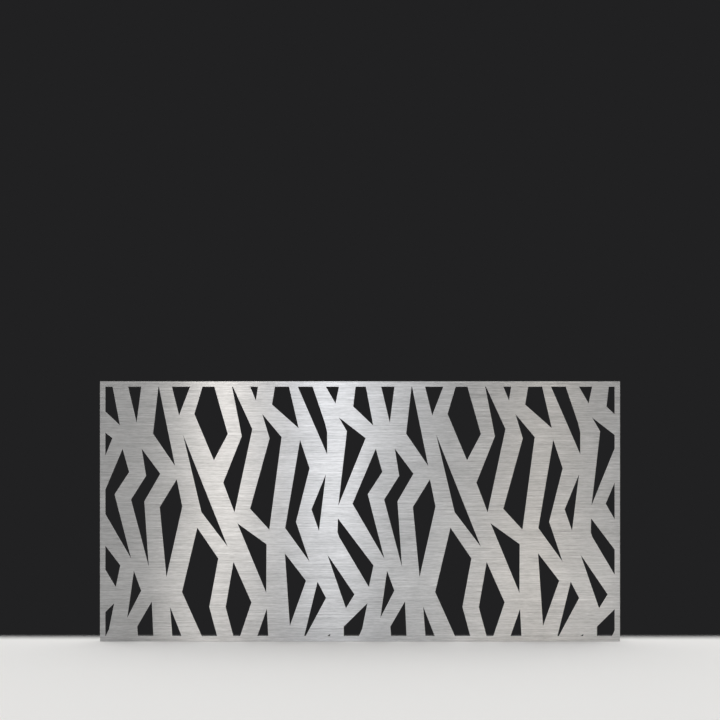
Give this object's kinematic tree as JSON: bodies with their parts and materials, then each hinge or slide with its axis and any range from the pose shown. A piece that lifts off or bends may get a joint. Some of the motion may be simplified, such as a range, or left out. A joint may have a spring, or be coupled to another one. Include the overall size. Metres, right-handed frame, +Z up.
{
  "type": "laser cut metal screen",
  "caption": "Flat brushed stainless screen, laser cut with an irregular lattice of slanted bars inside a plain border, stud-fixed to a hidden mitred angle frame with fixing holes on its sides.",
  "frame": {"origin": "middle of the screen's lower edge, halfway through its depth", "axes": "+X along the width, to the right seen from the front; +Y to the back; +Z up"},
  "size_m": [2, 0.022, 1],
  "materials": {
    "brushed_sheet": "304 stainless sheet, No. 4 brushed with a horizontal grain, laser-cut edges deburred bright",
    "rolled_angle": "304 stainless rolled angle, mill finish, pickled to a dull satin",
    "weld_stud": "A2 stainless weld stud, bright drawn with rolled thread",
    "fastener": "A2 stainless washer and nut, bright"
  },
  "bodies": {
    "root": {"face_sheet": "brushed_sheet", "left_angle": "rolled_angle", "top_angle": "rolled_angle", "right_angle": "rolled_angle", "bottom_angle": "rolled_angle", "left_stud_1": "weld_stud", "left_stud_2": "weld_stud", "left_washer_1": "fastener", "left_washer_2": "fastener", "left_nut_1": "fastener", "left_nut_2": "fastener", "right_stud_1": "weld_stud", "right_stud_2": "weld_stud", "right_washer_1": "fastener", "right_washer_2": "fastener", "right_nut_1": "fastener", "right_nut_2": "fastener", "top_stud_1": "weld_stud", "top_stud_2": "weld_stud", "top_stud_3": "weld_stud", "top_stud_4": "weld_stud", "top_stud_5": "weld_stud", "top_stud_6": "weld_stud", "top_washer_1": "fastener", "top_washer_2": "fastener", "top_washer_3": "fastener", "top_washer_4": "fastener", "top_washer_5": "fastener", "top_washer_6": "fastener", "top_nut_1": "fastener", "top_nut_2": "fastener", "top_nut_3": "fastener", "top_nut_4": "fastener", "top_nut_5": "fastener", "top_nut_6": "fastener", "bottom_stud_1": "weld_stud", "bottom_stud_2": "weld_stud", "bottom_stud_3": "weld_stud", "bottom_stud_4": "weld_stud", "bottom_stud_5": "weld_stud", "bottom_stud_6": "weld_stud", "bottom_washer_1": "fastener", "bottom_washer_2": "fastener", "bottom_washer_3": "fastener", "bottom_washer_4": "fastener", "bottom_washer_5": "fastener", "bottom_washer_6": "fastener", "bottom_nut_1": "fastener", "bottom_nut_2": "fastener", "bottom_nut_3": "fastener", "bottom_nut_4": "fastener", "bottom_nut_5": "fastener", "bottom_nut_6": "fastener"}
  },
  "joints": []
}
